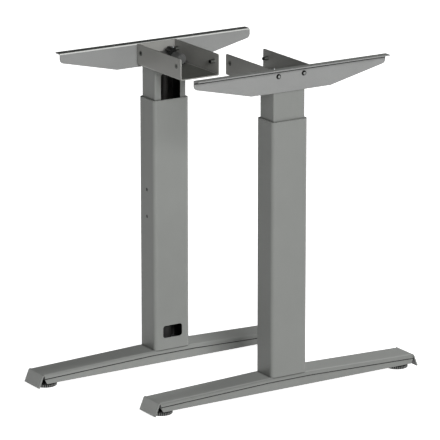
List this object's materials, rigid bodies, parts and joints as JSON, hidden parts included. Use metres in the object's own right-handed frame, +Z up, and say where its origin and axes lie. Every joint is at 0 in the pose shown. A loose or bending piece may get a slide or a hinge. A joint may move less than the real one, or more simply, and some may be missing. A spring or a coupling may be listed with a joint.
{
  "type": "standing desk frame",
  "caption": "Pair of motor-driven lifting desk legs with pressed steel feet, levellers, head channels and worktop brackets.",
  "frame": {"origin": "on the floor, midway between the two columns: the centre of the bounding box's base", "axes": "+X from the left leg to the right leg, +Y along the feet towards the back, +Z up"},
  "size_m": [0.4022, 0.7926, 0.7256],
  "materials": {
    "painted_steel": "satin silver-grey powder coat",
    "channel_paint": "satin grey powder coat",
    "zinc_steel": "zinc plated",
    "black_screw": "black oxide",
    "bright_steel": "ground",
    "black_plastic": "moulded",
    "knurled_plastic": "ribbed moulding",
    "nut_plastic": "machined",
    "motor_steel": "grey lacquer",
    "copper_pack": "lacquered winding pack",
    "sole_rubber": "matt"
  },
  "bodies": {
    "root": {"left_foot": "painted_steel", "left_foot_bolts": "zinc_steel", "left_leveller_nuts": "zinc_steel", "left_base_plate": "zinc_steel", "left_outer_tube": "painted_steel", "left_glide_strips": "black_plastic", "left_guide_pins": "black_screw", "left_nut_post": "zinc_steel", "left_spindle_nut": "nut_plastic", "right_foot": "painted_steel", "right_foot_bolts": "zinc_steel", "right_leveller_nuts": "zinc_steel", "right_base_plate": "zinc_steel", "right_outer_tube": "painted_steel", "right_glide_strips": "black_plastic", "right_guide_pins": "black_screw", "right_nut_post": "zinc_steel", "right_spindle_nut": "nut_plastic"},
    "left_lift": {"left_inner_tube": "painted_steel", "left_head_plate": "zinc_steel", "left_channel": "channel_paint", "left_bracket": "painted_steel", "left_bracket_screws": "black_screw", "left_set_screws": "black_screw", "left_set_nuts": "bright_steel", "left_column_screws": "zinc_steel", "left_bearing": "bright_steel", "left_gear_case": "black_plastic", "left_gear_cover": "black_plastic", "left_motor": "motor_steel", "left_motor_cap": "black_plastic"},
    "left_spindle": {"left_spindle": "bright_steel", "left_worm_wheel": "nut_plastic"},
    "left_drive": {"left_drive_shaft": "bright_steel", "left_rotor": "copper_pack"},
    "left_front_sole": {"left_front_sole": "sole_rubber"},
    "left_front_leveller": {"left_front_leveller": "knurled_plastic"},
    "left_rear_sole": {"left_rear_sole": "sole_rubber"},
    "left_rear_leveller": {"left_rear_leveller": "knurled_plastic"},
    "right_lift": {"right_inner_tube": "painted_steel", "right_head_plate": "zinc_steel", "right_channel": "channel_paint", "right_bracket": "painted_steel", "right_bracket_screws": "black_screw", "right_set_screws": "black_screw", "right_set_nuts": "bright_steel", "right_column_screws": "zinc_steel", "right_bearing": "bright_steel", "right_gear_case": "black_plastic", "right_gear_cover": "black_plastic", "right_motor": "motor_steel", "right_motor_cap": "black_plastic"},
    "right_spindle": {"right_spindle": "bright_steel", "right_worm_wheel": "nut_plastic"},
    "right_drive": {"right_drive_shaft": "bright_steel", "right_rotor": "copper_pack"},
    "right_front_sole": {"right_front_sole": "sole_rubber"},
    "right_front_leveller": {"right_front_leveller": "knurled_plastic"},
    "right_rear_sole": {"right_rear_sole": "sole_rubber"},
    "right_rear_leveller": {"right_rear_leveller": "knurled_plastic"}
  },
  "joints": [
    {"name": "left_lift", "type": "slide", "parent": "root", "child": "left_lift", "axis": [0, 0, 1], "range_m": [-0.06, 0.36]},
    {"name": "left_spindle_turn", "type": "hinge", "parent": "left_lift", "child": "left_spindle", "pos_m": [-0.15, -0.056, 0.6], "axis": [0, 0, 1], "continuous": true},
    {"name": "left_drive_turn", "type": "hinge", "parent": "left_lift", "child": "left_drive", "pos_m": [-0.15, -0.037, 0.6964], "axis": [1, 0, 0], "continuous": true},
    {"name": "left_front_level", "type": "slide", "parent": "root", "child": "left_front_sole", "axis": [0, 0, 1], "range_m": [-0.01, 0.002]},
    {"name": "left_front_turn", "type": "hinge", "parent": "left_front_sole", "child": "left_front_leveller", "pos_m": [-0.15, -0.361, 0.006], "axis": [0, 0, 1], "range_deg": [-2880, 576]},
    {"name": "left_rear_level", "type": "slide", "parent": "root", "child": "left_rear_sole", "axis": [0, 0, 1], "range_m": [-0.01, 0.002]},
    {"name": "left_rear_turn", "type": "hinge", "parent": "left_rear_sole", "child": "left_rear_leveller", "pos_m": [-0.15, 0.249, 0.006], "axis": [0, 0, 1], "range_deg": [-2880, 576]},
    {"name": "right_lift", "type": "slide", "parent": "root", "child": "right_lift", "axis": [0, 0, 1], "range_m": [-0.06, 0.36]},
    {"name": "right_spindle_turn", "type": "hinge", "parent": "right_lift", "child": "right_spindle", "pos_m": [0.15, 0.056, 0.6], "axis": [0, 0, 1], "continuous": true},
    {"name": "right_drive_turn", "type": "hinge", "parent": "right_lift", "child": "right_drive", "pos_m": [0.15, 0.037, 0.6964], "axis": [1, 0, 0], "continuous": true},
    {"name": "right_front_level", "type": "slide", "parent": "root", "child": "right_front_sole", "axis": [0, 0, 1], "range_m": [-0.01, 0.002]},
    {"name": "right_front_turn", "type": "hinge", "parent": "right_front_sole", "child": "right_front_leveller", "pos_m": [0.15, -0.249, 0.006], "axis": [0, 0, 1], "range_deg": [-2880, 576]},
    {"name": "right_rear_level", "type": "slide", "parent": "root", "child": "right_rear_sole", "axis": [0, 0, 1], "range_m": [-0.01, 0.002]},
    {"name": "right_rear_turn", "type": "hinge", "parent": "right_rear_sole", "child": "right_rear_leveller", "pos_m": [0.15, 0.361, 0.006], "axis": [0, 0, 1], "range_deg": [-2880, 576]}
  ],
  "couplings": [
    {"joint": "left_front_level", "follows": "left_front_turn", "m_per_rad": 0.00019894},
    {"joint": "left_rear_level", "follows": "left_rear_turn", "m_per_rad": 0.00019894},
    {"joint": "right_front_level", "follows": "right_front_turn", "m_per_rad": 0.00019894},
    {"joint": "right_rear_level", "follows": "right_rear_turn", "m_per_rad": 0.00019894},
    {"joint": "right_lift", "follows": "left_lift", "ratio": 1},
    {"joint": "left_spindle_turn", "follows": "left_lift", "rad_per_m": 628.32},
    {"joint": "left_drive_turn", "follows": "left_lift", "rad_per_m": 3769.9},
    {"joint": "right_spindle_turn", "follows": "left_lift", "rad_per_m": 628.32},
    {"joint": "right_drive_turn", "follows": "left_lift", "rad_per_m": -3769.9}
  ]
}
